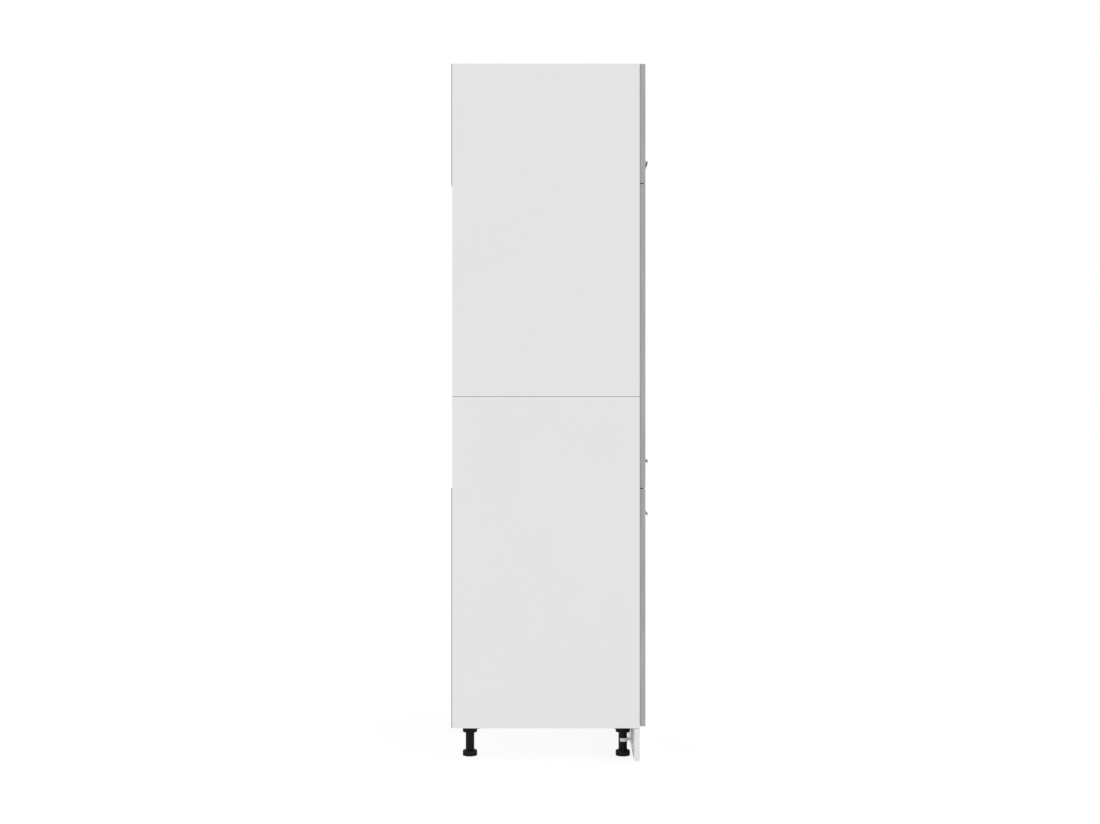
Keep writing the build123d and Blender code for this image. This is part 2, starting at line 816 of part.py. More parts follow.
def leg_socket(x, y):
    """An outer shell and an inner sleeve under one ceiling, with radial ribs between them."""
    with BuildPart() as socket:
        with BuildSketch(level(x, y, z_socket)):
            Circle(socket_diameter / 2)
        extrude(amount=socket_height)
        chamfer(socket.edges().group_by(Axis.Z)[0], socket_edge)
        with BuildSketch(level(x, y, z_socket)):
            Circle(socket_diameter / 2 - socket_wall)
            Circle(sleeve_outer, mode=Mode.SUBTRACT)
            with PolarLocations(0, socket_ribs):
                Rectangle(socket_diameter, socket_rib_width, mode=Mode.SUBTRACT)
        extrude(amount=socket_height - socket_ceiling, mode=Mode.SUBTRACT)
        with BuildSketch(level(x, y, z_socket)):
            Circle(sleeve_inner)
        extrude(amount=socket_height - socket_ceiling, mode=Mode.SUBTRACT)
        bore = level(x, y, z_under - socket_ceiling)
        add(rod(bore, leg_screw_diameter, socket_ceiling), mode=Mode.SUBTRACT)
    return socket.part


def leg_tube(x, y):
    """A plain tube, threaded inside for the foot's stem."""
    with BuildPart() as tube:
        with BuildSketch(level(x, y, z_tube)):
            Circle(tube_diameter / 2)
            Circle(tube_diameter / 2 - tube_wall, mode=Mode.SUBTRACT)
        extrude(amount=z_tube_top - z_tube)
    return tube.part


def foot(x, y):
    """A round foot with grips for turning it, and the hollow stem that screws into the tube."""
    stem_radius = tube_diameter / 2 - tube_wall - thread_play
    with BuildPart() as piece:
        add(rod(level(x, y, 0), foot_diameter, foot_height))
        fillet(piece.edges().group_by(Axis.Z)[-1], foot_edge_radius)
        with BuildSketch(level(x, y, 0)):
            with PolarLocations(foot_diameter / 2, foot_grips):
                Circle(foot_grip_radius)
        extrude(amount=foot_height, mode=Mode.SUBTRACT)
        with BuildSketch(level(x, y, foot_height)):
            Circle(stem_radius)
        extrude(amount=foot_stem_length)
        with BuildSketch(level(x, y, foot_height)):
            Circle(stem_radius - foot_stem_wall)
        extrude(amount=foot_stem_length, mode=Mode.SUBTRACT)
    return piece.part


with BuildPart() as leg_sockets:
    add([leg_socket(x, y) for x, y in leg_places()])
leg_sockets.part.label = "leg_sockets"
export_step(leg_sockets.part, "parts/leg_sockets.step")

with BuildPart() as leg_tubes:
    add([leg_tube(x, y) for x, y in leg_places()])
leg_tubes.part.label = "leg_tubes"
export_step(leg_tubes.part, "parts/leg_tubes.step")

with BuildPart() as leg_screws:
    shape = (leg_screw_diameter, leg_screw_head, leg_screw_head_height, leg_screw_length)
    seats = [level(x, y, z_under - socket_ceiling) for x, y in leg_places()]
    add([raised_screw(seat, *shape) for seat in seats])
leg_screws.part.label = "leg_screws"
export_step(leg_screws.part, "parts/leg_screws.step")

for row, y in zip(("front", "rear"), leg_rows):
    for hand, x in zip(("left", "right"), leg_columns):
        with BuildPart() as one_foot:
            add(foot(x, y))
        one_foot.part.label = f"foot_{row}_{hand}"
        export_step(one_foot.part, f"parts/foot_{row}_{hand}.step")


# Plinth: a board on edge, with a grooved bracket and a sprung clip behind it at each front leg
def bracket_screw_planes(x):
    for dz in (-bracket_screw_rise, bracket_screw_rise):
        yield upright(x, y_plinth_back + groove_floor, z_bracket + dz, -1)


def bracket_screw(plane):
    return flush_screw(plane, bracket_screw_diameter, bracket_screw_head, bracket_screw_length)


with BuildPart() as plinth_board:
    plinth_length = width - 2 * plinth_end_gap
    plinth_height = z_plinth_top - plinth_floor_gap
    z_plinth = (z_plinth_top + plinth_floor_gap) / 2
    add(slab(upright(0, y_front, z_plinth, 1), plinth_length, plinth_height, plinth_thickness))
    planes = [plane for x in leg_columns for plane in bracket_screw_planes(x)]
    add([bracket_screw(plane) for plane in planes], mode=Mode.SUBTRACT)
plinth_board.part.label = "plinth_board"
export_step(plinth_board.part, "parts/plinth_board.step")


def bracket(x):
    """A block with a groove up its rear face, undercut to hold the clip's base."""
    with BuildPart() as block:
        add(slab(upright(x, y_plinth_back, z_bracket, 1), bracket_width, bracket_height, bracket_depth))
        fillet(block.edges().filter_by(Axis.Y), bracket_corner)
        groove = upright(x, y_bracket_back, z_bracket, -1)
        undercut_depth = groove_depth - groove_lip
        hollows = [slab(groove, groove_mouth, bracket_height, groove_lip)]
        hollows += [slab(groove.offset(groove_lip), groove_width, bracket_height, undercut_depth)]
        hollows += [bracket_screw(plane) for plane in bracket_screw_planes(x)]
        add(hollows, mode=Mode.SUBTRACT)
    return block.part


def clip(x):
    """An open ring round the leg's tube, on a neck and a base that sits in the bracket's groove."""
    inner = tube_diameter / 2 + clip_play
    outer = inner + clip_wall
    y_leg = leg_rows[0]
    low = z_clip - clip_height / 2
    base_width = groove_width - 2 * clip_play
    neck_width = groove_mouth - 2 * clip_play
    neck_low = z_clip - clip_neck_height / 2
    y_base = y_plinth_back + groove_floor + clip_play
    base_depth = groove_depth - groove_lip - 2 * clip_play
    with BuildPart() as ring:
        with BuildSketch(level(x, y_leg, low)):
            Circle(outer)
        extrude(amount=clip_height)
        y_neck = (y_base + y_leg) / 2
        add(slab(level(x, y_neck, neck_low), neck_width, y_leg - y_base, clip_neck_height))
        add(slab(level(x, y_base + base_depth / 2, low), base_width, base_depth, clip_height))
        with BuildSketch(level(x, y_leg, low)):
            Circle(inner)
        extrude(amount=clip_height, mode=Mode.SUBTRACT)
        with BuildSketch(level(x, y_leg, low)):
            with BuildLine():
                half_mouth = clip_mouth_angle / 2
                arc = CenterArc((0, 0), 2 * outer, 90 - half_mouth, clip_mouth_angle)
                Line((0, 0), arc @ 0)
                Line((0, 0), arc @ 1)
            make_face()
        extrude(amount=clip_height, mode=Mode.SUBTRACT)
    return ring.part


with BuildPart() as plinth_brackets:
    for x in leg_columns:
        add(bracket(x))
plinth_brackets.part.label = "plinth_brackets"
export_step(plinth_brackets.part, "parts/plinth_brackets.step")

with BuildPart() as plinth_clips:
    for x in leg_columns:
        add(clip(x))
plinth_clips.part.label = "plinth_clips"
export_step(plinth_clips.part, "parts/plinth_clips.step")

with BuildPart() as plinth_screws:
    add([bracket_screw(plane) for x in leg_columns for plane in bracket_screw_planes(x)])
plinth_screws.part.label = "plinth_screws"
export_step(plinth_screws.part, "parts/plinth_screws.step")
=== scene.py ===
import bpy
import numpy as np
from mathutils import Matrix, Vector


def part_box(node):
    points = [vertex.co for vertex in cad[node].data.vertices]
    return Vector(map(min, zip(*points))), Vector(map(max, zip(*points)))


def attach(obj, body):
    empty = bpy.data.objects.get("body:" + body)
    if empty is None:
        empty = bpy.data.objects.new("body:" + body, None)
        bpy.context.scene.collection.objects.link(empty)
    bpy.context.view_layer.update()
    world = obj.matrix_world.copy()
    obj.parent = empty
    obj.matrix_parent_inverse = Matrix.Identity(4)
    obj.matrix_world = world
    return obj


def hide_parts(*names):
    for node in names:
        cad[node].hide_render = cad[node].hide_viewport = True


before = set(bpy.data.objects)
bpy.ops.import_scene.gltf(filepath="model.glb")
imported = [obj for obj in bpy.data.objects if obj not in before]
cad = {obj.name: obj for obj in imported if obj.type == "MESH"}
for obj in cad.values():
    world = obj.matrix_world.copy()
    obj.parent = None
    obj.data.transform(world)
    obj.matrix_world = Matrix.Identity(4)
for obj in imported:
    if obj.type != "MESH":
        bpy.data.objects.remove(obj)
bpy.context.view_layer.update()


# Carcass boards.
# 16 mm chipboard faced with pale grey melamine and banded in the same colour along the front and on top.
# Where the two boards of a side meet, a darker grey line round them is painted shade for the seam. The rear
# edges, the ends on other boards and the bores' walls are left raw.
def linear(code):
    """An sRGB hex colour as linear red, green, blue and alpha."""
    values = np.array([int(code[i:i + 2], 16) for i in (1, 3, 5)]) / 255
    bright = ((values + 0.055) / 1.055) ** 2.4
    return (*np.where(values <= 0.04045, values / 12.92, bright).tolist(), 1.0)


def add_node(material, kind, settings=None, inputs=None):
    """Adds a shader node, sets its properties, and sets or links each named or numbered input."""
    node = material.node_tree.nodes.new("ShaderNode" + kind)
    for name, value in (settings or {}).items():
        setattr(node, name, value)
    for name, value in (inputs or {}).items():
        if isinstance(value, bpy.types.NodeSocket):
            material.node_tree.links.new(value, node.inputs[name])
        else:
            node.inputs[name].default_value = value
    return node


def new_material(name):
    """An empty node material with its output node and the object's own coordinates."""
    material = bpy.data.materials.new(name)
    material.use_nodes = True
    material.node_tree.nodes.clear()
    output = add_node(material, "OutputMaterial")
    place = add_node(material, "TexCoord").outputs["Object"]
    return material, output.inputs["Surface"], place


def dress(node_name, material):
    """Gives a CAD node one material in all its slots."""
    slots = cad[node_name].data.materials
    slots.clear()
    slots.append(material)


def bare_chip(material, place, node_name, raw_sides, skin):
    """Mask of where a board's core shows: deeper than its skin from every outer face, or on a raw side."""
    low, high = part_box(node_name)
    from_low = add_node(material, "VectorMath", {"operation": "SUBTRACT"}, {0: place, 1: low}).outputs[0]
    from_high = add_node(material, "VectorMath", {"operation": "SUBTRACT"}, {0: high, 1: place}).outputs[0]
    nearest = add_node(material, "VectorMath", {"operation": "MINIMUM"}, {0: from_low, 1: from_high})
    parts = add_node(material, "SeparateXYZ", {}, {0: nearest.outputs[0]}).outputs
    depth = add_node(material, "Math", {"operation": "MINIMUM"}, {0: parts[0], 1: parts[1]}).outputs[0]
    depth = add_node(material, "Math", {"operation": "MINIMUM"}, {0: depth, 1: parts[2]}).outputs[0]
    mask = add_node(material, "Math", {"operation": "GREATER_THAN"}, {0: depth, 1: skin}).outputs[0]
    facing = add_node(material, "NewGeometry").outputs["Normal"]
    squarely = 0.9
    for side in raw_sides:
        turned = add_node(material, "VectorMath", {"operation": "DOT_PRODUCT"}, {0: facing, 1: side})
        raw = add_node(
            material, "Math", {"operation": "GREATER_THAN"}, {0: turned.outputs["Value"], 1: squarely}
        )
        mask = add_node(material, "Math", {"operation": "MAXIMUM"}, {0: mask, 1: raw.outputs[0]}).outputs[0]
    return mask


def chip_colour(material, place):
    """Pressed wood chips, 1 to 3 mm across, in mixed beige and brown, with painted shade darkening the gaps
    between them.
    """
    chips = add_node(material, "TexVoronoi", {}, {"Vector": place, "Scale": 520.0, "Randomness": 1.0})
    value = add_node(material, "SeparateColor", {}, {0: chips.outputs["Color"]}).outputs[0]
    ramp = add_node(material, "ValToRGB", {}, {"Fac": value})
    tones = (("#8E6F46", 0.0), ("#B9986A", 0.3), ("#CDB083", 0.65), ("#DCC59D", 1.0))
    while len(ramp.color_ramp.elements) < len(tones):
        ramp.color_ramp.elements.new(0.5)
    for element, (code, position) in zip(ramp.color_ramp.elements, tones):
        element.position = position
        element.color = linear(code)
    from_chip = chips.outputs["Distance"]
    # Colour darkened towards each chip's edge: painted shade in the hollows between chips
    gap = add_node(
        material,
        "MapRange",
        {},
        {"Value": from_chip, "From Min": 0.35, "From Max": 0.75, "To Min": 1.0, "To Max": 0.7},
    ).outputs[0]
    shaded = add_node(
        material,
        "Mix",
        {"data_type": "RGBA", "blend_type": "MULTIPLY"},
        {0: 1.0, 6: ramp.outputs["Color"], 7: gap},
    )
    return shaded.outputs[2], from_chip


def melamine_board(node_name, raw_sides, line=None):
    """Melamine-faced chipboard: a hard, flat, very slightly pearled skin that gives a broad dull sheen.
    A line of painted shade, given by its axis, its distance from the origin, half its width and its colour,
    runs round the board at that distance, where a seam's shadow falls."""
    material, surface, place = new_material("melamine_faced_chipboard_" + node_name)
    foil = 0.0005
    bare = bare_chip(material, place, node_name, raw_sides, foil)
    chip, chip_height = chip_colour(material, place)
    # The press plate's pearl is about 0.6 mm from crest to crest
    pearl = add_node(material, "TexNoise", {}, {"Vector": place, "Scale": 1600.0, "Detail": 1.0}).outputs[0]
    cloud = add_node(material, "TexNoise", {}, {"Vector": place, "Scale": 5.0, "Detail": 3.0}).outputs[0]
    skin = add_node(
        material,
        "Mix",
        {"data_type": "RGBA"},
        {0: cloud, 6: linear("#E3E3E3"), 7: linear("#E5E5E5")},
    ).outputs[2]
    # The line is painted shade: a darker colour laid over the skin where a seam's shadow falls
    if line:
        axis, distance, half_width, shade_colour = line
        along = add_node(material, "SeparateXYZ", {}, {0: place}).outputs[axis]
        from_middle = add_node(material, "Math", {"operation": "ABSOLUTE"}, {0: along}).outputs[0]
        drawn = add_node(
            material, "Math", {"operation": "COMPARE"}, {0: from_middle, 1: distance, 2: half_width}
        ).outputs[0]
        skin = add_node(
            material, "Mix", {"data_type": "RGBA"}, {0: drawn, 6: skin, 7: linear(shade_colour)}
        ).outputs[2]
    colour = add_node(material, "Mix", {"data_type": "RGBA"}, {0: bare, 6: skin, 7: chip}).outputs[2]
    rough = add_node(material, "Mix", {}, {0: bare, 2: 0.42, 3: 0.9}).outputs[0]
    height = add_node(material, "Mix", {}, {0: bare, 2: pearl, 3: chip_height}).outputs[0]
    lift = add_node(material, "Mix", {}, {0: bare, 2: 0.00001, 3: 0.0003}).outputs[0]
    relief = add_node(material, "Bump", {}, {"Strength": 0.5, "Distance": lift, "Height": height})
    board = add_node(
        material,
        "BsdfPrincipled",
        {},
        {"Base Color": colour, "Roughness": rough, "Normal": relief.outputs[0], "IOR": 1.49},
    )
    material.node_tree.links.new(board.outputs[0], surface)
    return material


rear, down, left, right = (0, 1, 0), (0, 0, -1), (-1, 0, 0), (1, 0, 0)
side_joint = 1.083
# The darker grey round the sides at their joint is painted shade for the seam between the two boards
joint_shade_line = (2, side_joint, 0.0008, "#8C8C8C")
for board_name in ("side_left_lower", "side_right_lower"):
    dress(board_name, melamine_board(board_name, (rear, down), joint_shade_line))
for board_name in ("side_left_upper", "side_right_upper"):
    dress(board_name, melamine_board(board_name, (rear,), joint_shade_line))
# Ends sawn square and butted on the sides get a fine grey line along the seam: a painted shadow
inner_face = 0.284
butted_seam_shadow = (0, inner_face, 0.0004, "#A2A2A2")
for board_name in ("bottom_board", "fridge_shelf", "top_cupboard_floor", "top_board", "loose_shelf"):
    dress(board_name, melamine_board(board_name, (rear, left, right), butted_seam_shadow))
dress("plinth_board", melamine_board("plinth_board", (down,)))


# Thin backs.
# 3 mm hardboard lacquered pale grey, which fixes square the two cupboards and leaves the niche open.
# The lacquer sinks a little into the pressed fibres, and steel pins, driven flush, hold each back by its
# four edges.
def pin_heads(material, place, rows, step):
    """Mask of flat pin heads, 2.8 mm wide: every step up both edges, and every 150 mm along the lower and
    the upper row. The distance to the nearest pin is the length of its offsets in x and z."""
    edge_line, row_step, head_radius = 0.292, 0.15, 0.0014
    x, _, z = add_node(material, "SeparateXYZ", {}, {0: place}).outputs
    from_middle = add_node(material, "Math", {"operation": "ABSOLUTE"}, {0: x}).outputs[0]
    from_edge = add_node(material, "Math", {"operation": "SUBTRACT"}, {0: from_middle, 1: edge_line})
    from_edge = from_edge.outputs[0]
    above_row = add_node(material, "Math", {"operation": "SUBTRACT"}, {0: z, 1: rows[0]}).outputs[0]
    below_row = add_node(material, "Math", {"operation": "SUBTRACT"}, {0: z, 1: rows[1]}).outputs[0]
    to_step = add_node(material, "Math", {"operation": "PINGPONG"}, {0: above_row, 1: step / 2}).outputs[0]
    along = add_node(material, "Math", {"operation": "SUBTRACT"}, {0: x, 1: row_step / 2}).outputs[0]
    to_column = add_node(material, "Math", {"operation": "PINGPONG"}, {0: along, 1: row_step / 2}).outputs[0]
    offsets = ((from_edge, to_step), (to_column, above_row), (to_column, below_row))
    nearest = None
    for across, up_or_down in offsets:
        offset = add_node(material, "CombineXYZ", {}, {0: across, 1: up_or_down}).outputs[0]
        distance = add_node(material, "VectorMath", {"operation": "LENGTH"}, {0: offset}).outputs["Value"]
        if nearest:
            lesser = add_node(material, "Math", {"operation": "MINIMUM"}, {0: nearest, 1: distance})
            distance = lesser.outputs[0]
        nearest = distance
    return add_node(material, "Math", {"operation": "LESS_THAN"}, {0: nearest, 1: head_radius}).outputs[0]


def hardboard(name, rows, spans):
    """One back's lacquered hardboard, with its pins' lower and upper row and equal spans between them."""
    material, surface, place = new_material("lacquered_hardboard_" + name)
    # Felted fibres about 1 mm wide and several long, lying every way
    fibres = add_node(
        material, "TexNoise", {}, {"Vector": place, "Scale": 700.0, "Detail": 4.0, "Distortion": 1.5}
    ).outputs[0]
    lacquer = add_node(
        material, "Mix", {"data_type": "RGBA"}, {0: fibres, 6: linear("#B0B0B0"), 7: linear("#BCBCBC")}
    ).outputs[2]
    head = pin_heads(material, place, rows, (rows[1] - rows[0]) / spans)
    colour = add_node(material, "Mix", {"data_type": "RGBA"}, {0: head, 6: lacquer, 7: linear("#8B8B89")})
    rough = add_node(material, "Mix", {}, {0: head, 2: 0.6, 3: 0.35}).outputs[0]
    relief = add_node(material, "Bump", {}, {"Strength": 0.35, "Distance": 0.0001, "Height": fibres})
    board = add_node(
        material,
        "BsdfPrincipled",
        {},
        {
            "Base Color": colour.outputs[2],
            "Metallic": head,
            "Roughness": rough,
            "Normal": relief.outputs[0],
            "IOR": 1.48,
        },
    )
    material.node_tree.links.new(board.outputs[0], surface)
    return material


dress("lower_back", hardboard("lower", (0.109, 0.807), 6))
dress("upper_back", hardboard("upper", (1.717, 2.062), 3))


# Knock-down fittings.
# Beech dowels, die-cast zinc cams, and nickel-plated steel for the bolts, pins, plates and screws.
# Nickel plate is bright and slightly warm; the drawn or pressed steel under it leaves fine lines.
def beech():
    """Steamed beech turned along the dowel: short fine flecks, about 0.7 mm wide and 5 mm long."""
    material, surface, place = new_material("turned_beech")
    stretched = add_node(material, "Mapping", {}, {"Vector": place, "Scale": (200.0, 1400.0, 1400.0)})
    grain = add_node(material, "TexNoise", {}, {"Vector": stretched.outputs[0], "Scale": 1.0, "Detail": 4.0})
    colour = add_node(
        material,
        "Mix",
        {"data_type": "RGBA"},
        {0: grain.outputs[0], 6: linear("#B98A5C"), 7: linear("#DDB98A")},
    ).outputs[2]
    relief = add_node(material, "Bump", {}, {"Strength": 0.3, "Distance": 0.0001, "Height": grain.outputs[0]})
    wood = add_node(
        material,
        "BsdfPrincipled",
        {},
        {"Base Color": colour, "Roughness": 0.65, "Normal": relief.outputs[0]},
    )
    material.node_tree.links.new(wood.outputs[0], surface)
    return material


def cast_zinc():
    """Die-cast zinc: a dull grey with the faint orange-peel that the die leaves."""
    material, surface, place = new_material("die_cast_zinc")
    peel = add_node(material, "TexNoise", {}, {"Vector": place, "Scale": 1500.0, "Detail": 2.0}).outputs[0]
    colour = add_node(
        material, "Mix", {"data_type": "RGBA"}, {0: peel, 6: linear("#96999C"), 7: linear("#A9ABAD")}
    ).outputs[2]
    relief = add_node(material, "Bump", {}, {"Strength": 0.4, "Distance": 0.0001, "Height": peel})
    metal = add_node(
        material,
        "BsdfPrincipled",
        {},
        {"Base Color": colour, "Metallic": 1.0, "Roughness": 0.48, "Normal": relief.outputs[0]},
    )
    material.node_tree.links.new(metal.outputs[0], surface)
    return material


def nickel_plate():
    """Nickel plate over drawn steel, whose lines are about 0.3 mm apart and 3 mm long."""
    material, surface, place = new_material("nickel_plated_steel")
    stretched = add_node(material, "Mapping", {}, {"Vector": place, "Scale": (3000.0, 300.0, 3000.0)})
    lines = add_node(
        material, "TexNoise", {}, {"Vector": stretched.outputs[0], "Scale": 1.0, "Detail": 2.0}
    ).outputs[0]
    rough = add_node(material, "MapRange", {}, {"Value": lines, "To Min": 0.2, "To Max": 0.36}).outputs[0]
    relief = add_node(material, "Bump", {}, {"Strength": 0.15, "Distance": 0.00003, "Height": lines})
    cloud = add_node(material, "TexNoise", {}, {"Vector": place, "Scale": 60.0, "Detail": 2.0}).outputs[0]
    colour = add_node(
        material, "Mix", {"data_type": "RGBA"}, {0: cloud, 6: linear("#C3BEB5"), 7: linear("#D2CEC6")}
    ).outputs[2]
    metal = add_node(
        material,
        "BsdfPrincipled",
        {},
        {"Base Color": colour, "Metallic": 1.0, "Roughness": rough, "Normal": relief.outputs[0]},
    )
    material.node_tree.links.new(metal.outputs[0], surface)
    return material


turned_beech, die_cast_zinc, nickel_plated_steel = beech(), cast_zinc(), nickel_plate()
dress("dowels", turned_beech)
dress("cam_locks", die_cast_zinc)
for fitting in ("cam_bolts", "shelf_pins", "joining_plates", "hinge_plates", "hinge_arms"):
    dress(fitting, nickel_plated_steel)


# Screws.
# Plated steel screws with crossed recesses; countersunk where they draw a plate flat, and with a
# domed head on the hinges' plates. Each head keeps the place and width of the solid that it stands for.
head_rings = 11


def rings_mesh(name, rings):
    """A closed mesh from stacked rings of points, shape (pieces, rings, around, 3): quads join each ring
    to the next, and one many-sided face closes each end."""
    pieces, count, around, _ = rings.shape
    first = np.arange(count - 1)[:, None] * around + np.arange(around)[None, :]
    after = np.arange(count - 1)[:, None] * around + (np.arange(around)[None, :] + 1) % around
    quads = np.stack([first, after, after + around, first + around], -1).reshape(-1, 4)
    start = np.arange(around)[::-1]
    end = (count - 1) * around + np.arange(around)
    faces = []
    for piece in range(pieces):
        shift = piece * count * around
        faces += (quads + shift).tolist() + [(start + shift).tolist(), (end + shift).tolist()]
    mesh = bpy.data.meshes.new(name)
    mesh.from_pydata(rings.reshape(-1, 3).tolist(), [], faces)
    mesh.polygons.foreach_set("use_smooth", np.ones(len(mesh.polygons), bool))
    mesh.set_sharp_from_angle(angle=np.radians(32))
    mesh.validate()
    obj = bpy.data.objects.new(name, mesh)
    bpy.context.scene.collection.objects.link(obj)
    return obj


def head_profile(head, rise, edge, shank, length, cone):
    """Radius and depth from the middle of the head outwards, down its edge, and along the shank. The dome
    falls from its rise to the edge's height as the radius to the power 2.4."""
    radii = np.linspace(0.04, 1, head_rings) * head / 2
    dome = -rise + (rise - edge) * (radii / radii[-1]) ** 2.4
    body = [(head / 2, 0.0)] if edge else []
    tip = shank * 0.8
    body += [(shank / 2, cone), (shank / 2, length - tip), (0.1, length)]
    return list(zip(radii.tolist(), dome.tolist())) + body


def screw_rings(places, into, head, rise, edge, shank, length, cone, recess_width, recess_depth):
    """Screws at given places, in metres, of sizes in mm. A profile of (radius, depth along the screw) is
    turned round the axis; inside the head, the depth grows by the recess: full within half the recess's
    width of either of two crossed lines, and fading towards the recess's outer end."""
    around, flank, fade = 48, 0.35, 0.6
    recess_radius = head * 0.31
    angle = np.linspace(0, 2 * np.pi, around, endpoint=False)
    radius, depth = np.array(head_profile(head, rise, edge, shank, length, cone)).T[:, :, None]
    across, along = radius * np.cos(angle), radius * np.sin(angle)
    from_lines = np.minimum(np.abs(across), np.abs(along)) / (recess_width / 2)
    from_middle = np.hypot(across, along) / recess_radius
    cut = np.clip(1 + flank - from_lines, 0, flank) / flank
    cut = cut * np.clip(1 + fade - from_middle, 0, fade) / fade
    in_head = np.arange(len(radius))[:, None] < head_rings
    depth = depth + cut * recess_depth * in_head
    into = np.array(into, float)
    side = np.cross(into, (0, 0, 1))
    other = np.cross(into, side)
    local = across[..., None] * side + along[..., None] * other + depth[..., None] * into
    return np.array(places, float)[:, None, None, :] + local * 0.001


def screws(name, body, stands_for, groups, **sizes):
    """One node's screws, all of one kind: groups of places with the direction in which they are driven."""
    rings = [screw_rings(places, into, **sizes) for places, into in groups]
    obj = rings_mesh(name, np.concatenate(rings))
    obj.data.materials.append(nickel_plated_steel)
    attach(obj, body)
    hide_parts(stands_for)


carcass_front, carcass_rear, door_back = -0.2645, 0.2915, -0.2655
hinge_rows = {
    "lower_door": (0.2055, 0.7095),
    "middle_door": (0.9125, 1.263, 1.6135),
    "top_door": (1.8165, 1.9695),
}
all_hinges = [z for row in hinge_rows.values() for z in row]
forward = (0, -1, 0)

# Each hinge's plate is 2.2 mm thick, on two screws 32 mm apart in the line of holes 37 mm from the front
plate_seat, plate_line = inner_face - 0.0022, carcass_front + 0.037
plate_places = [(plate_seat, plate_line, z + dz) for z in all_hinges for dz in (-0.016, 0.016)]
screws(
    "plate_screws",
    "carcass",
    "hinge_plate_screws",
    [(plate_places, right)],
    head=9.0,
    rise=2.0,
    edge=0.5,
    shank=5.0,
    length=12.0,
    cone=0.01,
    recess_width=1.1,
    recess_depth=1.3,
)

# The arm's web stands 6.4 mm off the side and is 1.6 mm thick, with an adjusting and a clamp screw
arm_seat = inner_face - 0.0064 - 0.0016
arm_places = [(arm_seat, carcass_front + line, z) for z in all_hinges for line in (0.030, 0.050)]
screws(
    "arm_screws",
    "carcass",
    "hinge_arm_screws",
    [(arm_places, right)],
    head=7.0,
    rise=2.4,
    edge=1.6,
    shank=4.0,
    length=7.0,
    cone=0.01,
    recess_width=1.0,
    recess_depth=1.5,
)

# Each joining plate is 2 mm thick, 90 mm from an edge of the side, on four screws 20 by 80 mm apart
joining_groups = []
for hand, outwards in ((-1, left), (1, right)):
    joining_places = [
        (hand * (inner_face - 0.002), y + dy, side_joint + dz)
        for y in (carcass_front + 0.09, carcass_rear - 0.09)
        for dy in (-0.01, 0.01)
        for dz in (-0.04, 0.04)
    ]
    joining_groups.append((joining_places, outwards))
screws(
    "joining_screws",
    "carcass",
    "joining_plate_screws",
    joining_groups,
    head=6.6,
    rise=0.0,
    edge=0.0,
    shank=3.5,
    length=13.0,
    cone=1.55,
    recess_width=0.9,
    recess_depth=1.2,
)

# A cup's 1 mm flange has two screws 48 mm apart, 6 mm inwards of the cup's middle; the cup is 35 mm wide
# and lies 3 mm from the door's edge. A handle's two screws are 384 mm apart.
door_edge = 0.2985
cup_screw_x = door_edge - 0.003 - 0.0175 - 0.006
handle_rows = {"lower_door": 0.731, "middle_door": 0.891, "top_door": 1.795}
for door, heights in hinge_rows.items():
    cup_places = [(cup_screw_x, door_back + 0.001, z + dz) for z in heights for dz in (-0.024, 0.024)]
    screws(
        door + "_wing_screws",
        door,
        door + "_cup_screws",
        [(cup_places, forward)],
        head=7.0,
        rise=0.0,
        edge=0.0,
        shank=3.5,
        length=12.0,
        cone=1.75,
        recess_width=0.9,
        recess_depth=1.2,
    )
    handle_places = [(x, door_back, handle_rows[door]) for x in (-0.192, 0.192)]
    screws(
        door + "_lip_screws",
        door,
        door + "_handle_screws",
        [(handle_places, forward)],
        head=8.0,
        rise=2.2,
        edge=1.0,
        shank=3.5,
        length=19.0,
        cone=0.01,
        recess_width=1.0,
        recess_depth=1.4,
    )
    dress(door + "_hinge_cups", nickel_plated_steel)
    dress(door + "_hinge_pins", nickel_plated_steel)
dress("leg_screws", nickel_plated_steel)
dress("plinth_screws", nickel_plated_steel)


